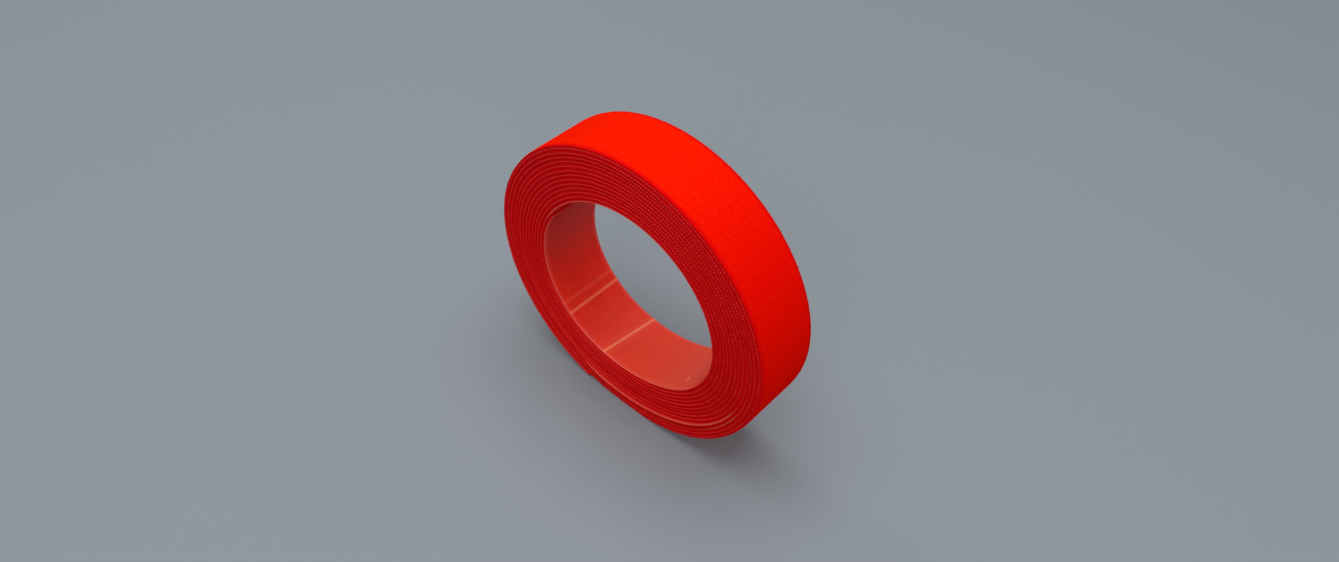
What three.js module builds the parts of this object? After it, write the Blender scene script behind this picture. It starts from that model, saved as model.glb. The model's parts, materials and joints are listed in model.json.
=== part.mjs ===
// A coreless roll of back-to-back hook and loop tape, standing on its edge.
// Millimetres. +Z is up, the roll's axis lies along Y, and the floor is Z = 0 under the middle of the roll.
// Angles are degrees about the roll's axis, from +X towards +Z. A winding angle is counted along the tape,
// from 0 at its inner end.
import * as THREE from "three";

// The tape: two webs bonded back to back
const TAPE_WIDTH = 25;
const HOOK_WEB = 0.35; // moulded film, the inner face of every turn
const BOND_FILM = 0.1;
const LOOP_WEB = 0.55; // knitted ground, the outer face of every turn
const PILE_DEPTH = 0.55; // room between two turns, where the hooks stand in the pile

// The winding
const BORE_DIAMETER = 75.7; // mean of the first turn
const TURNS = 13.272;
const TIP_ANGLE = 250; // place of the outer end
const OVAL = 1.7; // the roll is long one way by this much on each side
const OVAL_TILT = 25;
const SAG = 0.43; // the roll settles: flatter below, fuller at the shoulders
const SLACK = 0.9; // the last turns hang away from the rest, below
const SLACK_TURNS = 3;
const SLACK_ANGLE = 292.5;
const SLACK_ARC = 105;
const INNER_LIFT = 0.2; // the inner end stands off the second turn
const INNER_LIFT_ARC = 30;

// The foot: the lowest turns are pressed flat by the roll's weight
const FOOT_ANGLE = 270;
const FOOT_PRESS = 0.1;
const FOOT_EASE = 0.96; // share of their depth that the pressed turns keep

// The free outer end, in short links that bend apart as it peels
const TAIL_LINKS = 10; // each half as long as a facet
const LINK_GAP = 0.3;
const TIP_SPRING = 0.4; // how far the end stands off the turn below

const FACETS = 27; // in one turn, so that the facets of all turns lie over one another

const STEP = 360 / FACETS;
const LINK_ARC = STEP / 2;
const TAIL_ARC = TAIL_LINKS * LINK_ARC;
const TAPE = HOOK_WEB + BOND_FILM + LOOP_WEB;
const PITCH = TAPE + PILE_DEPTH;
const END = 360 * TURNS;
const TAIL_START = END - TAIL_ARC;

const COLOURS = { hook: 0xb4372b, bond: 0x8c1210, loop: 0xd2170a };

const radians = THREE.MathUtils.degToRad;
const wrap = THREE.MathUtils.euclideanModulo;

function angleAt(winding) {
  return TIP_ANGLE - END + winding;
}

// Where the outermost turn passes an angle.
function outermostAt(angle) {
  return END - wrap(TIP_ANGLE - angle, 360);
}

// A smooth swelling of 1 at its middle that dies out at half its arc on each side.
function swelling(angle, middle, arc) {
  const away = wrap(angle - middle + 180, 360) - 180;
  return Math.abs(away) < arc / 2 ? Math.cos((Math.PI * away) / arc) ** 2 : 0;
}

// Distance from the axis to the surface that lies a given height above the hook face.
function radiusAt(winding, height) {
  const angle = angleAt(winding);
  const spiral = BORE_DIAMETER / 2 + PITCH * (winding / 360 - 0.5) + height;
  const oval = OVAL * Math.cos(2 * radians(angle - OVAL_TILT));
  const sag = -SAG * Math.sin(3 * radians(angle));
  const loose = (END - winding) / 360 < SLACK_TURNS + 0.5;
  const slack = loose ? SLACK * swelling(angle, SLACK_ANGLE, SLACK_ARC) : 0;
  const lift = -INNER_LIFT * Math.max(0, 1 - winding / INNER_LIFT_ARC) ** 2;
  const spring = TIP_SPRING * Math.max(0, (winding - TAIL_START) / TAIL_ARC);
  return spiral + oval + sag + slack + lift + spring;
}

const FOOT_EDGES = [FOOT_ANGLE - STEP / 2, FOOT_ANGLE + STEP / 2];
const footHeights = FOOT_EDGES.map((angle) => {
  return -radiusAt(outermostAt(angle), TAPE) * Math.sin(radians(angle));
});
const CENTRE_Z = Math.min(...footHeights) - FOOT_PRESS;

// A point of the tape's edge, as X and Z. The floor holds up whatever would sink into it.
function pointAt(winding, height) {
  const angle = radians(angleAt(winding));
  const radius = radiusAt(winding, height);
  const turnsOutside = Math.floor((END - winding) / 360);
  const depth = turnsOutside * PITCH + TAPE - height;
  const z = CENTRE_Z + radius * Math.sin(angle);
  return new THREE.Vector2(radius * Math.cos(angle), Math.max(z, depth * FOOT_EASE));
}

// Winding angles along a stretch of tape: its two ends, and whole facets between, counted back from the outer end.
function stations(from, to) {
  const list = [from];
  const first = from + wrap(END - from, STEP);
  for (let winding = first; winding < to; winding += STEP) {
    const clearOfEnds = Math.min(winding - from, to - winding) > STEP / 4;
    if (clearOfEnds) list.push(winding);
  }
  return [...list, to];
}

// One web of the tape along the given winding angles, between two heights above the hook face.
function webGeometry(list, low, high) {
  const inner = list.map((winding) => pointAt(winding, low));
  const outer = list.map((winding) => pointAt(winding, high)).reverse();
  const shape = new THREE.Shape([...inner, ...outer]);
  const options = { depth: TAPE_WIDTH, steps: 1, bevelEnabled: false };
  return new THREE.ExtrudeGeometry(shape, options)
    .rotateX(Math.PI / 2)
    .translate(0, TAPE_WIDTH / 2, 0);
}

// The three webs of a stretch of tape, from the hook face outwards.
const WEBS = [
  { name: "hook_web", thickness: HOOK_WEB, colour: COLOURS.hook, roughness: 0.5 },
  { name: "bond_film", thickness: BOND_FILM, colour: COLOURS.bond, roughness: 0.6 },
  { name: "loop_web", thickness: LOOP_WEB, colour: COLOURS.loop, roughness: 0.95 },
];

function laminate(prefix, list, origin) {
  const group = new THREE.Group();
  let low = 0;
  for (const web of WEBS) {
    const geometry = webGeometry(list, low, low + web.thickness);
    geometry.translate(-origin.x, 0, -origin.y);
    const material = new THREE.MeshStandardMaterial({
      color: web.colour,
      roughness: web.roughness,
      metalness: 0,
    });
    const mesh = new THREE.Mesh(geometry, material);
    mesh.name = prefix + web.name;
    group.add(mesh);
    low += web.thickness;
  }
  return group;
}

// Half the gap between two links, as a winding angle.
const HALF_GAP = THREE.MathUtils.radToDeg(LINK_GAP / 2 / radiusAt(TAIL_START, TAPE));

const axis = new THREE.Vector2(0, 0);
const tape = stations(0, TAIL_START - HALF_GAP);
const roll = laminate("", tape, axis);

// The links hang on one another. Each one's origin is its hinge line, on the loop face in the middle of a gap,
// so that turning it about +Y bends the tape away from the roll.
let carrier = roll;
let carrierOrigin = axis;
for (let link = 0; link < TAIL_LINKS; link++) {
  const start = TAIL_START + link * LINK_ARC;
  const end = start + LINK_ARC;
  const last = link === TAIL_LINKS - 1;
  const hinge = pointAt(start, TAPE);
  const list = [start + HALF_GAP, last ? end : end - HALF_GAP];
  tape.push(...list);
  const group = laminate(`tail_${link + 1}_`, list, hinge);
  group.position.set(hinge.x - carrierOrigin.x, 0, hinge.y - carrierOrigin.y);
  carrier.add(group);
  carrier = group;
  carrierOrigin = hinge;
}

// The least room between the loop face of a turn and the hook face of the next, measured from the points of
// the one to the edges of the other.
function leastGap() {
  const hookFace = tape.map((winding) => pointAt(winding, 0));
  const toTape = new THREE.Vector2();
  const along = new THREE.Vector2();
  let least = Infinity;
  for (const winding of tape) {
    const point = pointAt(winding, TAPE);
    for (let i = 1; i < tape.length; i++) {
      if (tape[i - 1] < winding + 180) continue;
      along.subVectors(hookFace[i], hookFace[i - 1]);
      toTape.subVectors(point, hookFace[i - 1]);
      const share = THREE.MathUtils.clamp(toTape.dot(along) / along.lengthSq(), 0, 1);
      least = Math.min(least, toTape.addScaledVector(along, -share).length());
    }
  }
  return least;
}

console.log(`least gap between turns: ${leastGap().toFixed(2)} mm`);

export default roll;
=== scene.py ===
"""A roll of back-to-back hook and loop tape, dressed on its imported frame.

It makes the tape's webs, pile, yarns and hooks, the studio and the camera, in metres.
"""

import json
import math
from collections import namedtuple

import bpy
import numpy as np
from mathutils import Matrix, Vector


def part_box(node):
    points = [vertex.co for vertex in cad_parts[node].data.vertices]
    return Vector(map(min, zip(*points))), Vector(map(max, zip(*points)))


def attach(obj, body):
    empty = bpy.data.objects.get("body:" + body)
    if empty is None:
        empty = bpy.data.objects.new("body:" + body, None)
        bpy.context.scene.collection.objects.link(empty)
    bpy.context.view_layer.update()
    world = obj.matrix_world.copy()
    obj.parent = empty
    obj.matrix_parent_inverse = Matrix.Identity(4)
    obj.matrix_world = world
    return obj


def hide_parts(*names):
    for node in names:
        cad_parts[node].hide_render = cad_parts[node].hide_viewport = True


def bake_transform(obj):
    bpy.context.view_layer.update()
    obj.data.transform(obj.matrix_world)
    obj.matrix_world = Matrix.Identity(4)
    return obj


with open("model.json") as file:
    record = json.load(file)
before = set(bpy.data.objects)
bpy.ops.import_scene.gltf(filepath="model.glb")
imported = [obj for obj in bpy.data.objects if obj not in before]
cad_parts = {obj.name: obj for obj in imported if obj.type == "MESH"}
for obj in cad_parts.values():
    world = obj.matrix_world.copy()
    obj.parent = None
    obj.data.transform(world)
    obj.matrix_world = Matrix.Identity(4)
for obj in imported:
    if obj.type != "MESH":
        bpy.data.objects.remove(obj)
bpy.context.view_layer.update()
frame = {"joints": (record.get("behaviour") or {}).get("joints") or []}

MM = 0.001
SAME_PLACE = 1e-6  # points closer than this are taken as one
chance = np.random.default_rng(25)

# The tape, as in the frame. A height is counted from the hook face outwards.
HOOK_WEB = 0.35 * MM
BOND_FILM = 0.1 * MM
LOOP_WEB = 0.55 * MM
PILE_ROOM = 0.55 * MM
TAPE = HOOK_WEB + BOND_FILM + LOOP_WEB
PITCH = TAPE + PILE_ROOM
HALF_WIDTH = (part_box("hook_web")[1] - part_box("hook_web")[0]).y / 2

# The winding, as in the frame. A winding angle is counted in degrees along the tape from its inner end.
BORE_RADIUS = 37.85 * MM
TURNS = 13.272
END = 360 * TURNS
TIP_ANGLE = 250
OVAL = 1.7 * MM
OVAL_TILT = 25
SAG = 0.43 * MM
SLACK = 0.9 * MM
SLACK_TURNS = 3
SLACK_ANGLE = 292.5
SLACK_ARC = 105
FOOT_EASE = 0.96
FACETS = 27
LINK_ARC = 360 / FACETS / 2
TAIL_LINKS = 10
TAIL_ARC = TAIL_LINKS * LINK_ARC
TAIL_START = END - TAIL_ARC
ROLL_END = TAIL_START - LINK_ARC / 2
TIP_SPRING = 0.4 * MM

# Unlike in the solids, the inner end is pressed into the pile, and the foot's corners are rounded
INNER_PRESS = 0.32 * MM
INNER_PRESS_ARC = 30
FOOT_ROUND = 0.2 * MM

# The turns wander along the axis in two slow waves: degrees of wave to a degree of winding, and its start
WANDER = 0.09 * MM
WANDER_WAVES = (0.83, 0), (0.31, 70)

# The loose turns have slipped towards the viewer, and so has a stretch of the turn that they left.
# SLIPPED_TURN is the winding angle at which that turn passes the roll's angle 0.
LOOSE_SLIP = 0.5 * MM
STRETCH_SLIP = 0.8 * MM
SLIPPED_TURN = END - TIP_ANGLE - 4 * 360
SLIPPED_FROM = SLIPPED_TURN + 240, SLIPPED_TURN + 256
SLIPPED_TO = SLIPPED_TURN + 326, SLIPPED_TURN + 344

# The pile stands free on the outermost turn and is pressed down between turns
FREE_PILE = 0.42 * MM
PRESSED_PILE = 0.48 * MM
PILE_UNDER_TAIL = 0.3 * MM
FREE_FROM = END - 363, END - 354
UNDER_TAIL_FROM = TAIL_START - 372, TAIL_START - 362
FELT_START = UNDER_TAIL_FROM[0]
FABRIC_INSET = 0.16 * MM  # the film reaches further out than all that is bonded to it
PILE_HALF_WIDTH = HALF_WIDTH - FABRIC_INSET
EDGE_ROUND = 1.8 * MM
EDGE_DROP = 0.37 * MM

# Painted light: between these angles the felt is painted lighter and oranger, where light from above falls
# on it
FADED_FROM = 30, 90
FADED_TO = 150, 205
FADED_SHARE = 0.75


def swelling(angle, middle, arc):
    """1 at the middle, dying out at half the arc on each side."""
    away = (angle - middle + 180) % 360 - 180
    return np.where(np.abs(away) < arc / 2, np.cos(np.pi * away / arc) ** 2, 0)


def smooth_step(value, low, high):
    """0 below, 1 above and smooth between."""
    share = np.clip((value - low) / (high - low), 0, 1)
    return share * share * (3 - 2 * share)


def between(value, rise, fall):
    """1 from a rise to a fall, each of them smooth and given by its two ends."""
    return smooth_step(value, *rise) * (1 - smooth_step(value, *fall))


def angle_at(winding):
    """Degrees about the roll's axis, from +X towards +Z."""
    return TIP_ANGLE - END + winding


INNER_ANGLE = angle_at(0) % 360


def is_loose(winding):
    return (END - winding) / 360 < SLACK_TURNS + 0.5


def inner_press(winding):
    """How far the inner end is pressed into the pile of the second turn."""
    return INNER_PRESS * np.maximum(0, 1 - winding / INNER_PRESS_ARC) ** 2


def tip_spring(winding):
    """How far the tail stands off the turn below."""
    return TIP_SPRING * np.maximum(0, (winding - TAIL_START) / TAIL_ARC)


def radius_at(winding, height):
    """Distance from the roll's axis to a surface of the tape."""
    angle = angle_at(winding)
    spiral = BORE_RADIUS + PITCH * (winding / 360 - 0.5) + height
    oval = OVAL * np.cos(2 * np.radians(angle - OVAL_TILT))
    sag = -SAG * np.sin(3 * np.radians(angle))
    slack = SLACK * is_loose(winding) * swelling(angle, SLACK_ANGLE, SLACK_ARC)
    return spiral + oval + sag + slack + inner_press(winding) + tip_spring(winding)


def slipped_at(winding):
    return between(winding, SLIPPED_FROM, SLIPPED_TO)


def drift_at(winding):
    """How far the tape has slipped along the axis."""
    wander = sum(np.sin(np.radians(winding * rate + start)) for rate, start in WANDER_WAVES)
    loose = is_loose(winding) * swelling(angle_at(winding), SLACK_ANGLE, SLACK_ARC)
    return WANDER * wander - LOOSE_SLIP * loose - STRETCH_SLIP * slipped_at(winding)


FIRST_HINGE = frame["joints"][0]["pos_m"]
HINGE_RISE = radius_at(TAIL_START, TAPE) * math.sin(math.radians(angle_at(TAIL_START)))
CENTRE_Z = FIRST_HINGE[2] - HINGE_RISE


def on_roll(winding, across, height):
    """Points in the part's frame. The floor holds up whatever would sink into it."""
    angle = np.radians(angle_at(winding))
    radius = radius_at(winding, height)
    z = CENTRE_Z + radius * np.sin(angle)
    turns_outside = np.floor((END - winding) / 360)
    depth = np.maximum(turns_outside * PITCH + TAPE - height, 0) * FOOT_EASE
    z = (z + depth + np.hypot(z - depth, FOOT_ROUND)) / 2
    return np.stack([radius * np.cos(angle), across + drift_at(winding), z], axis=-1)


# Lengths along the tape for winding angles, to model it flat before it is wound
LENGTH_SAMPLES = 4800
WINDINGS = np.linspace(0, END, LENGTH_SAMPLES)
middle_line = on_roll(WINDINGS, np.zeros(LENGTH_SAMPLES), np.full(LENGTH_SAMPLES, TAPE / 2))
steps = np.linalg.norm(np.diff(middle_line, axis=0), axis=1)
LENGTHS = np.concatenate([[0], np.cumsum(steps)])


def length_at(winding):
    return np.interp(winding, WINDINGS, LENGTHS)


def winding_at(length):
    return np.interp(length, LENGTHS, WINDINGS)


def on_inner_turn(angle, across):
    """A place on the flat tape, by its angle on the innermost turn."""
    return float(length_at(angle - INNER_ANGLE)), across


def pile_top(winding, across):
    """Height of the pile's mat above the hook face. Where it stands free, its edges are rounded off."""
    under_tail = smooth_step(winding, *UNDER_TAIL_FROM)
    free = smooth_step(winding, *FREE_FROM)
    pressed = PRESSED_PILE + (PILE_UNDER_TAIL - PRESSED_PILE) * under_tail - inner_press(winding)
    near_edge = np.clip((np.abs(across) - PILE_HALF_WIDTH) / EDGE_ROUND + 1, 0, 1)
    rounded = FREE_PILE - EDGE_DROP * (1 - np.sqrt(1 - near_edge**2))
    return TAPE + pressed + (rounded - pressed) * free


def faded_at(winding):
    """How far the felt is painted lighter and oranger, as painted light from above: only on top of the
    outermost turn.
    """
    outermost = smooth_step(winding, *FREE_FROM)
    return outermost * between(angle_at(winding) % 360, FADED_FROM, FADED_TO)


def points(mesh):
    flat = np.empty(3 * len(mesh.vertices))
    mesh.vertices.foreach_get("co", flat)
    return flat.reshape(-1, 3)


def place(mesh, places):
    mesh.vertices.foreach_set("co", np.ascontiguousarray(places, float).ravel())
    mesh.update()


def mark(mesh, **marks):
    """Gives each point of a mesh values that its finish reads."""
    for name, values in marks.items():
        attribute = mesh.attributes.new(name, "FLOAT", "POINT")
        attribute.data.foreach_set("value", values.astype(np.float32))


def wind(piece):
    """Winds a flat piece onto the roll and keeps its flat places, in metres, as a UV map."""
    mesh = piece.data
    flat = points(mesh)
    # The winding mirrors a piece, so its faces are turned to point outwards again
    mesh.flip_normals()
    corners = np.empty(len(mesh.loops), int)
    mesh.loops.foreach_get("vertex_index", corners)
    layer = mesh.uv_layers.new(name="tape")
    layer.data.foreach_set("uv", flat[corners, :2].ravel())
    place(mesh, on_roll(winding_at(flat[:, 0]), flat[:, 1], flat[:, 2]))
    return piece


def only(piece):
    bpy.ops.object.select_all(action="DESELECT")
    piece.select_set(True)
    bpy.context.view_layer.objects.active = piece


def flat_strip(name, first, last, low, high, half_width, step, rows, rounding=0):
    """A slab of tape lying flat: X along it, Y across it, Z its height. Steps are in degrees of winding."""
    bpy.ops.object.select_all(action="DESELECT")
    columns = max(2, round((last - first) / step))
    bpy.ops.mesh.primitive_grid_add(
        x_subdivisions=columns, y_subdivisions=rows, size=1, calc_uvs=False
    )
    strip = bpy.context.object
    strip.name = strip.data.name = name
    start = length_at(first)
    end = length_at(last)
    strip.location = ((start + end) / 2, 0, low)
    strip.scale = (end - start, 2 * half_width, 1)
    bpy.ops.object.transform_apply(location=True, rotation=False, scale=True)
    bpy.ops.object.mode_set(mode="EDIT")
    bpy.ops.mesh.select_all(action="SELECT")
    bpy.ops.mesh.extrude_region_move(TRANSFORM_OT_translate={"value": (0, 0, high - low)})
    bpy.ops.mesh.select_all(action="SELECT")
    bpy.ops.mesh.normals_make_consistent(inside=False)
    bpy.ops.mesh.select_all(action="DESELECT")
    bpy.ops.mesh.select_mode(type="EDGE")
    bpy.ops.object.mode_set(mode="OBJECT")
    if rounding:
        select_long_edges(strip, half_width)
        bpy.ops.object.mode_set(mode="EDIT")
        bpy.ops.mesh.bevel(offset=rounding, segments=2, affect="EDGES")
        bpy.ops.object.mode_set(mode="OBJECT")
    return strip


def select_long_edges(strip, half_width):
    mesh = strip.data
    ends = np.empty(2 * len(mesh.edges), int)
    mesh.edges.foreach_get("vertices", ends)
    one_end, other_end = points(mesh)[ends.reshape(-1, 2)].transpose(1, 0, 2)
    at_edge = np.abs(np.abs(one_end[:, 1]) - half_width) < SAME_PLACE
    lengthwise = np.abs(one_end - other_end)[:, 1:].max(axis=1) < SAME_PLACE
    mesh.edges.foreach_set("select", at_edge & lengthwise)


def smooth(piece, sharp_from=40):
    """Shades a piece smooth, up to the angle in degrees from which an edge stays sharp."""
    only(piece)
    bpy.ops.object.shade_smooth_by_angle(angle=math.radians(sharp_from))
    return piece


def template(piece):
    """The corners and triangles of a small shape that is copied many times. The shape itself goes."""
    only(piece)
    bpy.ops.object.modifier_add(type="TRIANGULATE")
    bpy.ops.object.modifier_apply(modifier=piece.modifiers[-1].name)
    mesh = piece.data
    faces = np.empty(3 * len(mesh.polygons), int)
    mesh.polygons.foreach_get("vertices", faces)
    shape = points(mesh), faces.reshape(-1, 3)
    bpy.data.objects.remove(piece)
    return shape


def pile_loop():
    """A loop of yarn standing on its two ends, 1 wide and half as high."""
    bpy.ops.object.select_all(action="DESELECT")
    bpy.ops.mesh.primitive_circle_add(
        vertices=3, radius=0.06, fill_type="NGON", location=(-0.5, 0, 0), calc_uvs=False
    )
    loop = bpy.context.object
    bpy.ops.object.mode_set(mode="EDIT")
    bpy.ops.mesh.select_all(action="SELECT")
    bpy.ops.mesh.spin(steps=4, angle=math.pi, center=(0, 0, 0), axis=(0, 1, 0))
    bpy.ops.mesh.select_all(action="SELECT")
    bpy.ops.mesh.normals_make_consistent(inside=False)
    bpy.ops.object.mode_set(mode="OBJECT")
    bpy.ops.object.transform_apply(location=True)
    return template(loop)


def stray_end():
    """A broken filament, 1 long along Y and 1 thick, thinning to its tip."""
    stem = 0.6
    bpy.ops.object.select_all(action="DESELECT")
    bpy.ops.mesh.primitive_cone_add(
        vertices=3, radius1=0.5, radius2=0.3, depth=stem, calc_uvs=False
    )
    stray = bpy.context.object
    stray.location.z = stem / 2
    bpy.ops.object.transform_apply(location=True)
    bpy.ops.object.mode_set(mode="EDIT")
    bpy.ops.mesh.select_mode(type="FACE")
    bpy.ops.mesh.select_all(action="DESELECT")
    bpy.ops.object.mode_set(mode="OBJECT")
    for face in stray.data.polygons:
        face.select = face.center.z > 0.99 * stem
    bpy.ops.object.mode_set(mode="EDIT")
    bpy.ops.mesh.extrude_region_move(TRANSFORM_OT_translate={"value": (0, 0, 1 - stem)})
    bpy.ops.mesh.merge(type="CENTER")
    bpy.ops.object.mode_set(mode="OBJECT")
    stray.rotation_euler.x = -math.pi / 2
    bpy.ops.object.transform_apply(rotation=True)
    return template(stray)


def yarn_turn():
    """Where a knitted yarn turns back at the tape's edge: a small round bead, 1 across."""
    bpy.ops.object.select_all(action="DESELECT")
    bpy.ops.mesh.primitive_ico_sphere_add(subdivisions=1, radius=0.5, calc_uvs=False)
    return template(bpy.context.object)


def micro_hook():
    """A moulded stem that widens to its head, 1 high, standing down from the hook face."""
    bpy.ops.object.select_all(action="DESELECT")
    bpy.ops.mesh.primitive_cone_add(
        vertices=4, radius1=0.62, radius2=0.3, depth=1, location=(0, 0, -0.5), calc_uvs=False
    )
    bpy.ops.object.transform_apply(location=True)
    return template(bpy.context.object)


def copies(name, shape, origins, sizes, turns=None, leans=None):
    """Many copies of a small shape in flat space, as one piece.

    Each is sized, leant along X and Y by its height, turned about Z and moved to its place.
    """
    corners, faces = shape
    at = corners[None] * sizes[:, None]
    if leans is not None:
        at[..., :2] += at[..., 2:] * leans[:, None]
    if turns is not None:
        cosine = np.cos(turns)[:, None]
        sine = np.sin(turns)[:, None]
        x = at[..., 0].copy()
        y = at[..., 1].copy()
        at[..., 0] = cosine * x - sine * y
        at[..., 1] = sine * x + cosine * y
    at += origins[:, None]
    count = len(origins)
    first_corners = len(corners) * np.arange(count)
    all_faces = (faces[None] + first_corners[:, None, None]).reshape(-1, 3)
    mesh = bpy.data.meshes.new(name)
    mesh.vertices.add(at.shape[0] * at.shape[1])
    mesh.vertices.foreach_set("co", at.ravel())
    mesh.loops.add(all_faces.size)
    mesh.loops.foreach_set("vertex_index", all_faces.ravel())
    mesh.polygons.add(len(all_faces))
    mesh.polygons.foreach_set("loop_start", np.arange(0, all_faces.size, 3))
    mesh.update(calc_edges=True)
    piece = bpy.data.objects.new(name, mesh)
    bpy.context.scene.collection.objects.link(piece)
    piece["copies"] = count
    return piece


def dye(piece, materials, last_share=None):
    """Gives each copy in a piece one of several dye shades.

    The share of copies that get the last shade may be given, one for each copy's place.
    """
    for material in materials:
        piece.data.materials.append(material)
    count = piece["copies"]
    shades = chance.integers(0, len(materials), count)
    if last_share is not None:
        others = chance.integers(0, len(materials) - 1, count)
        shades = np.where(chance.random(count) < last_share, len(materials) - 1, others)
    per_copy = len(piece.data.polygons) // count
    piece.data.polygons.foreach_set("material_index", np.repeat(shades, per_copy))


def screen(red, green, blue):
    """A colour as a screen shows it, 0 to 255, in the renderer's units, by the sRGB curve."""
    share = np.array([red, green, blue]) / 255
    return tuple(np.where(share > 0.04045, ((share + 0.055) / 1.055) ** 2.4, share / 12.92))


class Value:
    """A socket to reckon with in plain sums."""

    def __init__(self, finish, socket):
        self.finish = finish
        self.socket = socket

    def __add__(self, other):
        return self.finish.sum("ADD", self, other)

    def __sub__(self, other):
        return self.finish.sum("SUBTRACT", self, other)

    def __rsub__(self, other):
        return self.finish.sum("SUBTRACT", other, self)

    def __mul__(self, other):
        return self.finish.sum("MULTIPLY", self, other)

    __radd__ = __add__
    __rmul__ = __mul__


class Finish:
    """A material and its nodes."""

    def __init__(self, name, **shader):
        self.material = bpy.data.materials.new(name)
        self.material.use_nodes = True
        self.tree = self.material.node_tree
        self.shader = self.tree.nodes["Principled BSDF"]
        self.set(**shader)

    def set(self, **inputs):
        self.fill(self.shader, {name.replace("_", " "): value for name, value in inputs.items()})

    def fill(self, node, inputs):
        for key, value in inputs.items():
            socket = node.inputs[key]
            if isinstance(value, Value):
                self.tree.links.new(value.socket, socket)
            elif socket.type == "RGBA":
                socket.default_value = (*value, 1)
            else:
                socket.default_value = value

    def node(self, kind, inputs, output=0, **settings):
        node = self.tree.nodes.new("ShaderNode" + kind)
        for name, value in settings.items():
            setattr(node, name, value)
        self.fill(node, inputs)
        return Value(self, node.outputs[output])

    def sum(self, operation, a, b):
        return self.node("Math", {0: a, 1: b}, operation=operation)

    def uv(self):
        return self.node("UVMap", {}, uv_map="tape")

    def flat_place(self, scale=(1, 1, 1)):
        """Where a point lies on the flat tape, in metres along and across."""
        return self.node("Mapping", {"Vector": self.uv(), "Scale": scale})

    def offset(self, at, axis):
        """How far a place lies from the middle along one axis, to either side."""
        part = self.node("SeparateXYZ", {0: at}, output=axis)
        return self.node("Math", {0: part}, operation="ABSOLUTE")

    def across(self):
        return self.offset(self.uv(), 1)

    def marked(self, name):
        """The values that a piece's points were marked with."""
        return self.node("Attribute", {}, output=2, attribute_name=name)

    def stroke(self, start, end, half_width):
        """1 along a short straight mark between two places on the flat tape, fading all round."""
        along = np.subtract(end, start)
        own = self.node(
            "Mapping",
            {
                "Vector": self.uv(),
                "Location": (*np.add(start, end) / 2, 0),
                "Rotation": (0, 0, math.atan2(along[1], along[0])),
                "Scale": (math.hypot(*along) / 2, half_width, 1),
            },
            vector_type="TEXTURE",
        )
        lengthwise = self.ramp(self.offset(own, 0), 0.5, 1, 1, 0)
        sideways = self.ramp(self.offset(own, 1), 0.2, 1, 1, 0)
        return lengthwise * sideways

    def noise(self, at, scale, detail=3, roughness=0.55):
        inputs = {"Vector": at, "Scale": scale, "Detail": detail, "Roughness": roughness}
        return self.node("TexNoise", inputs)

    def rows(self, at, scale, distortion, detail):
        """Rows across the tape."""
        inputs = {"Vector": at, "Scale": scale, "Distortion": distortion, "Detail": detail}
        return self.node("TexWave", inputs, output=1, wave_type="BANDS", bands_direction="X")

    def ramp(self, value, low, high, first=0, last=1):
        return self.node(
            "MapRange",
            {"Value": value, "From Min": low, "From Max": high, "To Min": first, "To Max": last},
            interpolation_type="SMOOTHSTEP",
        )

    def mix(self, share, a, b):
        return self.node("Mix", {0: share, 6: a, 7: b}, output=2, data_type="RGBA")

    def bump(self, height, distance, strength):
        return self.node("Bump", {"Height": height, "Distance": distance, "Strength": strength})


# Colours of the pile, the knitted ground and the adhesive. A pair is a darker and a lighter shade.
RED_BRIGHT = screen(252, 17, 1)
RED_MID = screen(244, 9, 1)
RED_DEEP = screen(226, 4, 2)
# Painted light: the felt's colour on its lit top, lighter and oranger
RED_FADED = screen(255, 42, 2)
NAP_SHEEN = screen(255, 40, 0)
FILAMENT_SHEEN = screen(255, 45, 5)
# Painted shade: the nap's colours at its edges, darker where they turn from the light
FREE_NAP_EDGE = screen(216, 6, 8)
PRESSED_NAP_EDGE = screen(207, 4, 12)
KNIT = screen(200, 3, 11), screen(216, 5, 14)
ADHESIVE = screen(176, 3, 10), screen(196, 4, 13)

# Colours of the film's faces
FILM = screen(222, 30, 9), screen(232, 39, 14)
# Painted shade: a duller, greyer red where the film faces down at the bore's upper left
FILM_DULL = screen(203, 58, 52)
# Painted sheen: paler where light falls on the bore's bottom
FILM_WORN = screen(252, 100, 70)
# Painted reflection: paler still, where light glances off the bore's lower right
FILM_HAZY = screen(255, 104, 80)
# Painted highlight: paler along the bore's near edge
FILM_RIM = screen(255, 112, 104)
FILM_CREASED = screen(255, 140, 102)
# Painted highlight: paler where the slipped stretch's face catches the light
FILM_SLIPPED = screen(226, 58, 48)
FILM_SCRATCHED = screen(255, 190, 170)
HOOK_HEADS = screen(228, 42, 27)

# Colours of the film's edges, between the rows of hooks and at them
FILM_EDGE = screen(228, 19, 27), screen(254, 62, 64)
# Painted highlight: paler edge colours where the near edge catches the light
PALE_EDGE = screen(222, 52, 42), screen(250, 146, 122)
LINTY_EDGE = screen(224, 30, 38)
# Painted shade: a darker red for the edges on the roll's right side
DEEP_EDGE = screen(210, 6, 7)

# How strongly the painted sheen, the painted highlight near the bore's edge, the lint and the painted shade
# on the film's edges show
WORN_SHARE = 0.6
RIM_SHARE = 0.35
LINTY_SHARE = 0.75
DEEP_SHARE = 0.75

# A short scratch in the film, low in the bore
SCRATCH = on_inner_turn(312, -7.5 * MM), on_inner_turn(310.5, -4.5 * MM)
SCRATCH_HALF_WIDTH = 0.45 * MM

# How wide the nap's painted shade at its edges is, and between which places across the tape the film's cut
# and its painted highlight near the edge come in
NAP_EDGE_INSET = 0.2 * MM
FREE_NAP_EDGE_WIDTH = 2.2 * MM
PRESSED_NAP_EDGE_WIDTH = 0.4 * MM
CUT_FROM = HALF_WIDTH - 0.12 * MM, HALF_WIDTH - 0.03 * MM
RIM_FROM = HALF_WIDTH - 1.7 * MM, HALF_WIDTH - 0.2 * MM


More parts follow.
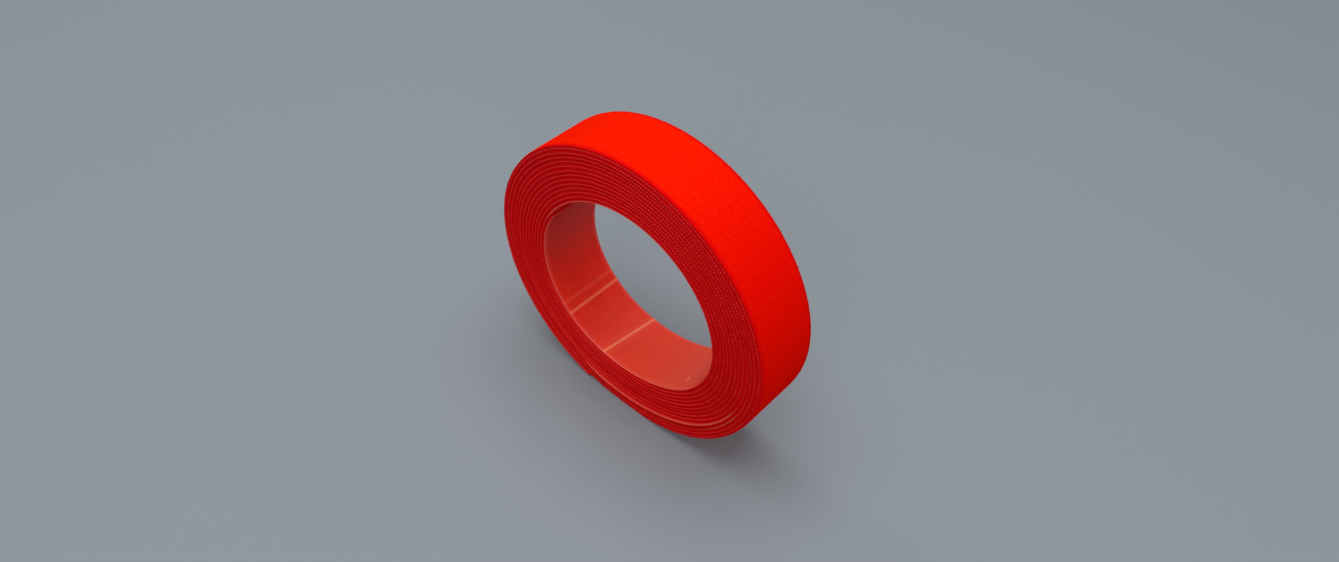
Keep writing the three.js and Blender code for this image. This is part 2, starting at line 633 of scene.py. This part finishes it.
def napped_pile(name, edge_colour, edge_width):
    """Brushed pile: a matted nap with soft clouds and a fine grain of filaments, painted lighter and
    oranger on its lit top and darker towards its edges as painted shade.
    """
    finish = Finish(name, Roughness=0.95, Sheen_Weight=0.12, Sheen_Roughness=0.6)
    finish.set(Sheen_Tint=NAP_SHEEN, Specular_IOR_Level=0)
    clouds = finish.noise(finish.flat_place(), scale=900, detail=2)
    grain = finish.noise(finish.flat_place((1, 1.6, 1)), scale=2600, detail=4, roughness=0.7)
    shade = finish.ramp(clouds * 0.35 + grain * 0.65, 0.3, 0.7)
    # Painted shade: the nap darkens towards its edges, where its rounded edge turns from the light
    side = finish.ramp(finish.across(), HALF_WIDTH - edge_width, HALF_WIDTH - NAP_EDGE_INSET)
    fresh = finish.mix(shade, RED_DEEP, RED_BRIGHT)
    # Painted light: the nap's colours where light from above falls on the outermost turn's top
    faded = finish.mix(shade, RED_MID, RED_FADED)
    nap = finish.mix(finish.marked("faded") * FADED_SHARE, fresh, faded)
    finish.set(Base_Color=finish.mix(side, nap, edge_colour))
    finish.set(Normal=finish.bump(grain, distance=0.12 * MM, strength=0.7))
    return finish.material


def filament(name, colour):
    """One dye shade of the pile's filaments."""
    finish = Finish(name, Base_Color=colour, Roughness=0.9, Sheen_Weight=0.1)
    finish.set(Sheen_Tint=FILAMENT_SHEEN, Specular_IOR_Level=0)
    return finish.material


def film_face(finish, plain):
    """The film's face: painted shade, a painted sheen and a painted reflection in stretches, a painted
    highlight along the bore's edge and on the slipped stretch, creases and a scratch.
    """
    # Painted shade, painted sheen, painted reflection and painted highlights, where the points are marked
    face = finish.mix(finish.marked("dull"), plain, FILM_DULL)
    face = finish.mix(finish.marked("worn") * WORN_SHARE, face, FILM_WORN)
    face = finish.mix(finish.marked("hazy"), face, FILM_HAZY)
    rim = finish.ramp(finish.across(), *RIM_FROM)
    face = finish.mix(rim * finish.marked("in_bore") * RIM_SHARE, face, FILM_RIM)
    face = finish.mix(finish.marked("crease"), face, FILM_CREASED)
    face = finish.mix(finish.marked("slipped"), face, FILM_SLIPPED)
    return finish.mix(finish.stroke(*SCRATCH, SCRATCH_HALF_WIDTH), face, FILM_SCRATCHED)


def film_edge(finish):
    """The film's cut edge: paler at each row of hooks, linty in stretches, darker on the roll's right side
    as painted shade, and paler along stretches of the near edge as a painted highlight.
    """
    hook_rows = finish.rows(finish.flat_place((1, 0, 0)), scale=280, distortion=3, detail=2)
    dots = finish.ramp(hook_rows, 0.45, 0.85)
    edge = finish.mix(dots, *FILM_EDGE)
    edge = finish.mix(finish.marked("linty") * LINTY_SHARE, edge, LINTY_EDGE)
    specks = finish.noise(finish.flat_place(), scale=450, detail=1)
    flecks = dots * finish.ramp(specks, 0.44, 0.58)
    # Painted shade on the roll's right side, sparing flecks at the rows of hooks
    edge = finish.mix(finish.marked("deep") * (1 - flecks) * DEEP_SHARE, edge, DEEP_EDGE)
    # Painted highlight along stretches of the near edge
    return finish.mix(finish.marked("pale_edge"), edge, finish.mix(dots, *PALE_EDGE))


def hook_film():
    """Moulded film: satin with a faint haze, drawn lengthwise, with a dry cut edge."""
    finish = Finish("hook film", Specular_IOR_Level=0, Coat_Roughness=0.45)
    haze = finish.noise(finish.flat_place(), scale=130)
    drawn = finish.noise(finish.flat_place((0.03, 1, 1)), scale=1500, detail=2)
    plain = finish.mix(finish.ramp(haze * 0.6 + drawn * 0.4, 0.35, 0.65), *FILM)
    cut = finish.ramp(finish.across(), *CUT_FROM)
    finish.set(Base_Color=finish.mix(cut, film_face(finish, plain), film_edge(finish)))
    finish.set(Coat_Weight=finish.ramp(cut, 0, 1, first=0.4, last=0))
    finish.set(Roughness=finish.ramp(haze, 0.3, 0.7, first=0.38, last=0.52))
    finish.set(Normal=finish.bump(drawn, distance=0.03 * MM, strength=0.5))
    return finish.material


def knit_ground():
    """Knitted ground: rows of stitches across the tape, seen only at its edges and cut ends."""
    finish = Finish("knit ground", Roughness=0.9, Specular_IOR_Level=0.05)
    stitches = finish.rows(finish.flat_place(), scale=160, distortion=1.5, detail=1)
    wear = finish.noise(finish.flat_place(), scale=700)
    finish.set(Base_Color=finish.mix(finish.ramp(stitches * 0.5 + wear * 0.5, 0.3, 0.7), *KNIT))
    return finish.material


def bond_adhesive():
    finish = Finish("bond adhesive", Roughness=0.6, Specular_IOR_Level=0.3)
    wear = finish.noise(finish.flat_place(), scale=500)
    finish.set(Base_Color=finish.mix(wear, *ADHESIVE))
    return finish.material


def hook_plastic():
    finish = Finish("micro-hooks", Base_Color=HOOK_HEADS, Roughness=0.45, Specular_IOR_Level=0.3)
    return finish.material


FREE_NAP = napped_pile("free nap", FREE_NAP_EDGE, FREE_NAP_EDGE_WIDTH)
PRESSED_NAP = napped_pile("pressed nap", PRESSED_NAP_EDGE, PRESSED_NAP_EDGE_WIDTH)
FILAMENTS = [
    filament("bright filament", RED_BRIGHT),
    filament("mid filament", RED_MID),
    filament("deep filament", RED_DEEP),
]
# Painted light: filaments in the lit top's lighter, oranger colour
FADED_FILAMENT = filament("faded filament", RED_FADED)
EDGE_YARNS = [
    filament("edge yarn", screen(212, 4, 15)),
    filament("dark edge yarn", screen(199, 3, 12)),
    filament("pale edge yarn", screen(220, 8, 19)),
]
# Painted light: brighter copies of the edge yarns for the outer turn and the tail, whose edges catch the
# light from above
OUTER_YARNS = [
    filament("outer edge yarn", screen(228, 6, 14)),
    filament("dark outer edge yarn", screen(214, 4, 12)),
    filament("pale outer edge yarn", screen(236, 14, 18)),
]
EDGE_FUZZ = [
    filament("edge fuzz", screen(208, 4, 14)),
    filament("dark edge fuzz", screen(190, 2, 11)),
]
HOOK_PLASTIC = hook_plastic()


# Stretches of tape, by body and winding angles: the roll, then one for each hinge of the tail,
# from the middle of one link to the middle of the next
STRETCHES = [("roll", 0, ROLL_END)]
for link in range(1, TAIL_LINKS + 1):
    begin = ROLL_END + LINK_ARC * (link - 1)
    STRETCHES.append((f"tail_{link}", begin, END if link == TAIL_LINKS else begin + LINK_ARC))


def settle(piece, stretch):
    """The roll's pieces ride on it; the tail's keep their places, with nothing to bend them."""
    body, first, _ = STRETCHES[stretch]
    if stretch == 0:
        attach(piece, "roll")
    else:
        before = STRETCHES[stretch - 1][0]
        start, end = on_roll(np.array([first, first + LINK_ARC]), np.zeros(2), np.full(2, TAPE))
        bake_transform(piece)


def stand_for(stretch, web):
    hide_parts(web if stretch == 0 else f"tail_{stretch}_{web}")


# Folds pressed across the film: the angles at its near and far edge, the width and height in mm, and how
# pale the crest is
CREASES = [
    (217.6, 217.6, 0.6, 0.04, 0.15),
    (223.7, 223.7, 0.48, 0.1, 0.62),
    (251.7, 255.6, 2.0, 0, 0.13),
    (251.7, 255.6, 0.48, 0.2, 0.95),
]
# Angles along the inner turn, on from the inner end's, between which the film has a painted sheen and a
# painted reflection, where light falls on the bore's bottom and glances off it, and up to which it has
# painted shade, where it faces down at the bore's upper left
WORN_FROM = 205, 310
HAZY_FROM = 285, 325
WORN_TO = 340, 410
DULL_UP_TO = 168, 208
BORE_ARC = 358  # of the inner turn, which the bore shows


def crease_hook_film(strip):
    """Folds pressed across the film by hand: small ridges, whitened along their crests."""
    mesh = strip.data
    flat = points(mesh)
    whiteness = np.zeros(len(flat))
    from_edge = flat[:, 1] + HALF_WIDTH
    for near, far, width, height, white in CREASES:
        angle = near + (far - near) * from_edge / (2 * HALF_WIDTH)
        away = (flat[:, 0] - length_at(angle - INNER_ANGLE)) / (width * MM)
        ridge = np.exp(-away * away)
        flat[:, 2] -= height * MM * ridge
        whiteness = np.maximum(whiteness, white * ridge)
    place(mesh, flat)
    angle = winding_at(flat[:, 0]) + INNER_ANGLE
    mark(
        mesh,
        crease=whiteness,
        # Painted sheen and painted reflection low in the bore, painted shade at its upper left
        worn=between(angle, WORN_FROM, WORN_TO),
        hazy=between(angle, HAZY_FROM, WORN_TO),
        dull=1 - smooth_step(angle, *DULL_UP_TO),
        in_bore=angle < INNER_ANGLE + BORE_ARC,
    )


# Where the film's near edge has a painted highlight, paler where it catches the light: winding angles from
# and to, and how pale
PALE_EDGES = [
    (SLIPPED_TURN + 246, SLIPPED_TURN + 300, 0.8),
    (SLIPPED_TURN + 292, SLIPPED_TURN + 341, 1),
    (SLIPPED_TURN + 360 + 246, SLIPPED_TURN + 360 + 274, 0.6),
    (SLIPPED_TURN + 360 + 316, SLIPPED_TURN + 360 + 341, 0.7),
    (300, 366, 0.6),
    (4, 175, 0.45),
]
PALE_RISE = 4
PALE_FALL = 6
NEAR_EDGE = 0.1 * MM
# Angles between which lint has dulled the edges of all turns, and between which they are painted darker, as
# painted shade on the roll's right side.
# The latter are counted on past 360.
LINTY_FROM = 120, 190
LINTY_TO = 285, 315
DEEP_FROM = 300, 345
DEEP_TO = 400, 440


def wear_film_edges(strip):
    """Marks where the film's edges have a painted highlight, where the tape slipped, where they are linty
    and where they have painted shade.
    """
    mesh = strip.data
    flat = points(mesh)
    winding = winding_at(flat[:, 0])
    near = flat[:, 1] < -HALF_WIDTH + NEAR_EDGE
    paleness = np.zeros(len(flat))
    # Painted highlight: how bright the near edge is painted, stretch by stretch
    for first, last, pale in PALE_EDGES:
        window = between(winding, (first, first + PALE_RISE), (last - PALE_FALL, last))
        paleness = np.maximum(paleness, pale * near * window)
    angle = angle_at(winding) % 360
    from_left = (angle - 180) % 360 + 180
    mark(
        mesh,
        # Painted highlight on the near edge
        pale_edge=paleness,
        # The slipped stretch, whose face gets a painted highlight
        slipped=near * slipped_at(winding),
        linty=between(angle, LINTY_FROM, LINTY_TO),
        # Painted shade on the roll's right side
        deep=between(from_left, DEEP_FROM, DEEP_TO),
    )


# The three webs, each with the node that it stands for. Low and high are heights above the hook face.
Web = namedtuple("Web", "node low high inset rounding material slot")
GROUND_LOW = HOOK_WEB + BOND_FILM
FILM_WEB = Web("hook_web", 0, HOOK_WEB, 0, 0.06 * MM, hook_film(), "hook_film")
BOND_WEB = Web("bond_film", HOOK_WEB, GROUND_LOW, FABRIC_INSET, 0, bond_adhesive(), "bond")
GROUND_WEB = Web("loop_web", GROUND_LOW, TAPE, FABRIC_INSET, 0.14 * MM, knit_ground(), "loop_fabric")

# How finely the webs are divided: degrees of winding in a step, and rows across. The inner turn's film is
# the finest, for its creases, and runs on a little past the inner end.
INNER_TURN = 372
INNER_STEP = 0.3
ROLL_STEP = 3
TAIL_STEP = 1
INNER_FILM_ROWS = 8
TAIL_FILM_ROWS = 3
WEB_ROWS = 2


def add_web(name, web, stretch, first, last, step, rows):
    half_width = HALF_WIDTH - web.inset
    strip = flat_strip(name, first, last, web.low, web.high, half_width, step, rows, web.rounding)
    if web is FILM_WEB and first == 0:
        crease_hook_film(strip)
    if web is FILM_WEB and stretch == 0:
        wear_film_edges(strip)
    strip.data.materials.append(web.material)
    smooth(wind(strip))
    settle(strip, stretch)
    stand_for(stretch, web.node)


for stretch, (body, first, last) in enumerate(STRETCHES):
    if stretch == 0:
        add_web("inner_turn_hook_film", FILM_WEB, 0, 0, INNER_TURN, INNER_STEP, INNER_FILM_ROWS)
        add_web("outer_turns_hook_film", FILM_WEB, 0, INNER_TURN, last, ROLL_STEP, WEB_ROWS)
    else:
        add_web(f"{body}_hook_film", FILM_WEB, stretch, first, last, TAIL_STEP, TAIL_FILM_ROWS)
    step = TAIL_STEP if stretch else ROLL_STEP
    add_web(f"{body}_bond_layer", BOND_WEB, stretch, first, last, step, WEB_ROWS)
    add_web(f"{body}_loop_ground", GROUND_WEB, stretch, first, last, step, WEB_ROWS)


# The mat of pile: how finely it is divided, and how uneven and ragged it is
PRESSED_STEP = 0.8
PRESSED_ROWS = 2
FELT_STEP = 0.7
FELT_ROWS = 42
UNEVENNESS = 0.022 * MM
RAGGEDNESS = 0.07 * MM
SIDE_POINTS = 0.01 * MM


def pile_mat(name, stretch, first, last, step, rows, material):
    """The matted pile on the ground: uneven on top and ragged at the edges, where its rows lie closer."""
    strip = flat_strip(name, first, last, TAPE, TAPE + FREE_PILE, PILE_HALF_WIDTH, step, rows)
    flat = points(strip.data)
    along = flat[:, 0].copy()
    on_top = flat[:, 2] > TAPE + FREE_PILE / 2
    at_edge = np.abs(flat[:, 1]) > PILE_HALF_WIDTH - SIDE_POINTS
    flat[:, 1] = PILE_HALF_WIDTH * np.sin(np.pi / 2 * flat[:, 1] / PILE_HALF_WIDTH)
    flat[on_top, 2] = pile_top(winding_at(along[on_top]), flat[on_top, 1])
    uneven = chance.normal(0, UNEVENNESS, len(flat))
    inside = (along > along.min() + SAME_PLACE) & (along < along.max() - SAME_PLACE)
    flat[:, 2] += np.where(on_top & inside, uneven, 0)
    ragged = np.abs(chance.normal(0, RAGGEDNESS, len(flat)))
    flat[:, 1] -= np.where(at_edge & inside, np.sign(flat[:, 1]) * ragged, 0)
    place(strip.data, flat)
    strip.data.materials.append(material)
    # Painted light: how far each point lies on the felt's lit top
    mark(strip.data, faded=faded_at(winding_at(along)))
    smooth(wind(strip), sharp_from=60)
    settle(strip, stretch)


pile_mat("inner_turns_pile", 0, 0, FELT_START, PRESSED_STEP, PRESSED_ROWS, PRESSED_NAP)
pile_mat("outer_turn_pile", 0, FELT_START, ROLL_END, FELT_STEP, FELT_ROWS, FREE_NAP)
for stretch, (body, first, last) in enumerate(STRETCHES[1:], 1):
    pile_mat(f"{body}_pile", stretch, first, last, FELT_STEP, FELT_ROWS, FREE_NAP)


# Loops that stand up out of the felt, heights and spans in mm. They are rooted a little way down in it, and
# where the tail covers them, they fill a share of the room below it.
PILE_LOOP = pile_loop()
LOOPS_PER_MM2 = 1.8
LOOP_INSET = 0.35 * MM
LOOP_ROOT = 0.08 * MM
LOOP_HEIGHTS = 0.12, 0.34
LOOP_SPANS = 0.4, 1.1
LOOP_THICKNESS = 0.75 * MM
LOOP_LEAN = 0.5
COVERED_UP_TO = END - 358
SPRUNG_SHARE = 0.8
ROOM_SHARE = 0.7
OPEN_ROOM = 1  # more than any loop needs
FELT_PARTS = 3
FELT_LOOPS_FROM = FELT_START + 2


def pile_loops(name, stretch, first, last):
    """Loops of filament that stand up out of the nap."""
    start = length_at(first)
    end = length_at(last)
    count = int(LOOPS_PER_MM2 * (end - start) * 2 * HALF_WIDTH / MM**2)
    along = chance.uniform(start, end, count)
    across = chance.uniform(-1, 1, count) * (HALF_WIDTH - LOOP_INSET)
    winding = winding_at(along)
    top = pile_top(winding, across)
    room_below_tail = PITCH + SPRUNG_SHARE * tip_spring(winding + 360) - top
    room = np.where(winding < COVERED_UP_TO, room_below_tail, OPEN_ROOM)
    height = chance.uniform(*LOOP_HEIGHTS, count) * MM + LOOP_ROOT
    height = np.minimum(height, ROOM_SHARE * room + LOOP_ROOT)
    span = chance.uniform(*LOOP_SPANS, count) * MM
    sizes = np.stack([span, np.full(count, LOOP_THICKNESS), height * 2], axis=-1)
    origins = np.stack([along, across, top - LOOP_ROOT], axis=-1)
    turns = chance.uniform(0, 2 * np.pi, count)
    leans = chance.normal(0, LOOP_LEAN, (count, 2))
    leans[:, 0] = 0
    piece = copies(name, PILE_LOOP, origins, sizes, turns, leans)
    # Painted light: on the lit top, a share of the loops take the lighter, oranger filament colour
    dye(wind(piece), [*FILAMENTS, FADED_FILAMENT], faded_at(winding) * FADED_SHARE)
    settle(smooth(piece, sharp_from=180), stretch)


felt_splits = np.linspace(FELT_LOOPS_FROM, ROLL_END, FELT_PARTS + 1)
for part in range(FELT_PARTS):
    pile_loops(f"outer_turn_loops_{part + 1}", 0, felt_splits[part], felt_splits[part + 1])
for stretch, (body, first, last) in enumerate(STRETCHES[1:], 1):
    pile_loops(f"{body}_loops", stretch, first, last)


# Yarns along the edges of the ground: one bead to a stitch, with its sizes along, across and up in mm
YARN_TURN = yarn_turn()
STITCH = 1.1 * MM
STITCH_SCATTER = 0.09 * MM
YARN_INSET = 0.32 * MM
YARN_SCATTER_ACROSS = 0.04 * MM
YARN_SCATTER_UP = 0.05 * MM
YARN_LENGTHS = 0.62, 0.95
YARN_WIDTHS = 0.4, 0.6
YARN_HEIGHTS = 0.36, 0.5
GROUND_MIDDLE = GROUND_LOW + LOOP_WEB * 0.5


def edge_yarns(name, stretch, first, last, side, shades):
    """Yarns that turn back along one edge of the knitted ground, stitch by stitch."""
    along = np.arange(length_at(first), length_at(last), STITCH)
    count = len(along)
    along = along + chance.normal(0, STITCH_SCATTER, count)
    across = side * (HALF_WIDTH - YARN_INSET) + chance.normal(0, YARN_SCATTER_ACROSS, count)
    height = GROUND_MIDDLE + chance.normal(0, YARN_SCATTER_UP, count)
    ranges = YARN_LENGTHS, YARN_WIDTHS, YARN_HEIGHTS
    sizes = np.stack([chance.uniform(*least_and_most, count) for least_and_most in ranges], axis=-1)
    piece = copies(name, YARN_TURN, np.stack([along, across, height], axis=-1), sizes * MM)
    dye(wind(piece), shades)
    settle(smooth(piece, sharp_from=180), stretch)


# Filaments that stray out along the edges. Heights are shares of the pile's, sizes are in mm and the spread
# of their turns is in radians.
STRAY_END = stray_end()
STRAYS_PER_MM = 1.6
STRAY_INSET = 0.45 * MM
STRAY_HEIGHTS = 0.15, 0.9
STRAY_THICKNESSES = 0.05, 0.1
STRAY_LENGTHS = 0.35, 0.95
STRAY_TURN = 0.6


def edge_fuzz(name, stretch, first, last, side, shades):
    """Broken filaments that stray out of the pile along one edge."""
    start = length_at(first)
    end = length_at(last)
    count = int(STRAYS_PER_MM * (end - start) / MM)
    along = chance.uniform(start, end, count)
    across = np.full(count, side * (HALF_WIDTH - STRAY_INSET))
    depth = pile_top(winding_at(along), across) - TAPE
    height = TAPE + depth * chance.uniform(*STRAY_HEIGHTS, count)
    thick = chance.uniform(*STRAY_THICKNESSES, count)
    sizes = np.stack([thick, chance.uniform(*STRAY_LENGTHS, count), thick], axis=-1)
    outwards = math.pi if side < 0 else 0
    turns = chance.normal(0, STRAY_TURN, count) + outwards
    piece = copies(name, STRAY_END, np.stack([along, across, height], axis=-1), sizes * MM, turns)
    dye(wind(piece), shades)
    settle(smooth(piece, sharp_from=180), stretch)


# The tape's edges, stretch by stretch, with a margin in degrees at both ends of each
END_MARGIN = 0.3
EDGES = [("inner_turns", 0, 0, END - 360), ("outer_turn", 0, END - 360, ROLL_END)]
for stretch, (body, first, last) in enumerate(STRETCHES[1:], 1):
    EDGES.append((body, stretch, first, last))
for side, label in ((-1, "near"), (1, "far")):
    for body, stretch, first, last in EDGES:
        inner = body == "inner_turns"
        # Painted light: the outer turn's and the tail's edges take the brighter yarns and the pile's own
        # colours for their fuzz
        yarns, fuzz = (EDGE_YARNS, EDGE_FUZZ) if inner else (OUTER_YARNS, FILAMENTS[1:])
        begin = first + END_MARGIN
        finish_at = last - END_MARGIN
        edge_yarns(f"{body}_{label}_edge_yarns", stretch, begin, finish_at, side, yarns)
        edge_fuzz(f"{body}_{label}_edge_fuzz", stretch, begin, finish_at, side, fuzz)


# Rows of hooks, staggered by half a pitch, clear of the film's edges and ends
MICRO_HOOK = micro_hook()
HOOK_PITCH = 0.8 * MM
HOOK_SPACING = 0.75 * MM
HOOK_INSET = 0.5 * MM
HOOK_LAST_INSET = 0.4 * MM
HOOK_END_ROOM = 0.2 * MM
HOOK_ROOT = 0.03 * MM
HOOK_SIZE = np.array([0.2, 0.2, 0.22]) * MM


def micro_hooks(name, stretch, first, last):
    """Rows of moulded hooks on the film's free face."""
    begin = length_at(first) + HOOK_PITCH / 2
    along = np.arange(begin, length_at(last) - HOOK_END_ROOM, HOOK_PITCH)
    across = np.arange(-HALF_WIDTH + HOOK_INSET, HALF_WIDTH - HOOK_LAST_INSET, HOOK_SPACING)
    x, y = np.meshgrid(along, across, indexing="ij")
    x = x + np.where(np.arange(len(across)) % 2, HOOK_PITCH / 2, 0)[None]
    on_tape = x < LENGTHS[-1] - HOOK_END_ROOM
    x = x[on_tape]
    y = y[on_tape]
    origins = np.stack([x, y, np.full(x.size, HOOK_ROOT)], axis=-1)
    sizes = np.tile(HOOK_SIZE, (x.size, 1))
    piece = copies(name, MICRO_HOOK, origins, sizes, np.full(x.size, math.pi / 4))
    piece.data.materials.append(HOOK_PLASTIC)
    settle(wind(piece), stretch)


micro_hooks("inner_turn_hooks", 0, 0, 360)
for stretch, (body, first, last) in enumerate(STRETCHES[1:], 1):
    micro_hooks(f"{body}_hooks", stretch, first, last)


# Light from all around, and where the floor, as seen, begins and ends to fade into it
ROOM_LIGHT = 0.94, 0.97, 1
ROOM_STRENGTH = 0.34
FLOOR_SIZE = 6
FLOOR_COLOUR = screen(138, 146, 152)
FLOOR_FADES = 0.5, 1.05
# Soft square lamps, turned to the middle of the roll: place, size and power in watts
LAMPS = {
    "overhead": ((0, 0, 1.1), 0.9, 7.7),
    "left": ((-0.9, 0.1, 0.7), 0.6, 1.5),
    "right": ((1, 0.1, 0.3), 0.5, 0.9),
    "front": ((0.5, -0.9, 0.7), 1, 4.4),
}


def aim(holder, direction):
    """Turns a lamp or camera to look along a direction."""
    holder.rotation_euler = direction.to_track_quat("-Z", "Y").to_euler()


def floor_finish():
    """A plain matt floor. Far away, it is seen as the light of the room."""
    finish = Finish("floor", Base_Color=FLOOR_COLOUR, Roughness=0.8, Specular_IOR_Level=0.2)
    place_on_floor = finish.node("TexCoord", {}, output=3)
    distance = finish.node("VectorMath", {0: place_on_floor}, output=1, operation="LENGTH")
    seen = finish.node("LightPath", {})
    near = Value(finish, finish.shader.outputs[0])
    backdrop = finish.node("Emission", {"Color": ROOM_LIGHT, "Strength": ROOM_STRENGTH})
    far_share = seen * finish.ramp(distance, *FLOOR_FADES)
    fading = finish.node("MixShader", {0: far_share, 1: near, 2: backdrop})
    finish.fill(finish.tree.nodes["Material Output"], {"Surface": fading})
    return finish.material


def studio():
    """A plain pale floor under soft light."""
    bpy.ops.object.select_all(action="DESELECT")
    bpy.ops.mesh.primitive_plane_add(size=FLOOR_SIZE)
    floor = bpy.context.object
    floor.name = "floor"
    floor.data.materials.append(floor_finish())

    world = bpy.data.worlds.new("soft room")
    world.use_nodes = True
    background = world.node_tree.nodes["Background"]
    background.inputs["Color"].default_value = (*ROOM_LIGHT, 1)
    background.inputs["Strength"].default_value = ROOM_STRENGTH
    bpy.context.scene.world = world

    for name, (place_at, size, power) in LAMPS.items():
        lamp = bpy.data.lights.new(name, "AREA")
        lamp.size = size
        lamp.energy = power
        holder = bpy.data.objects.new(name, lamp)
        holder.location = place_at
        aim(holder, Vector((0, 0, CENTRE_Z)) - Vector(place_at))
        bpy.context.scene.collection.objects.link(holder)


# The photograph's viewpoint, from the front right and well above the roll. Sensor and lens are in mm.
VIEWPOINT = Vector((168.9, -175.3, 293.15)) * MM
VIEW_DIRECTION = Vector((-0.4803, 0.5296, -0.6992))
SENSOR_WIDTH = 36
FOCAL_LENGTH = 26.886
NEAREST_SEEN = 0.01


def camera():
    lens = bpy.data.cameras.new("camera")
    lens.sensor_width = SENSOR_WIDTH
    lens.lens = FOCAL_LENGTH
    lens.clip_start = NEAREST_SEEN
    viewer = bpy.data.objects.new("camera", lens)
    viewer.location = VIEWPOINT
    aim(viewer, VIEW_DIRECTION)
    bpy.context.scene.collection.objects.link(viewer)
    bpy.context.scene.camera = viewer
    bpy.context.scene.view_settings.view_transform = "Standard"


studio()
camera()
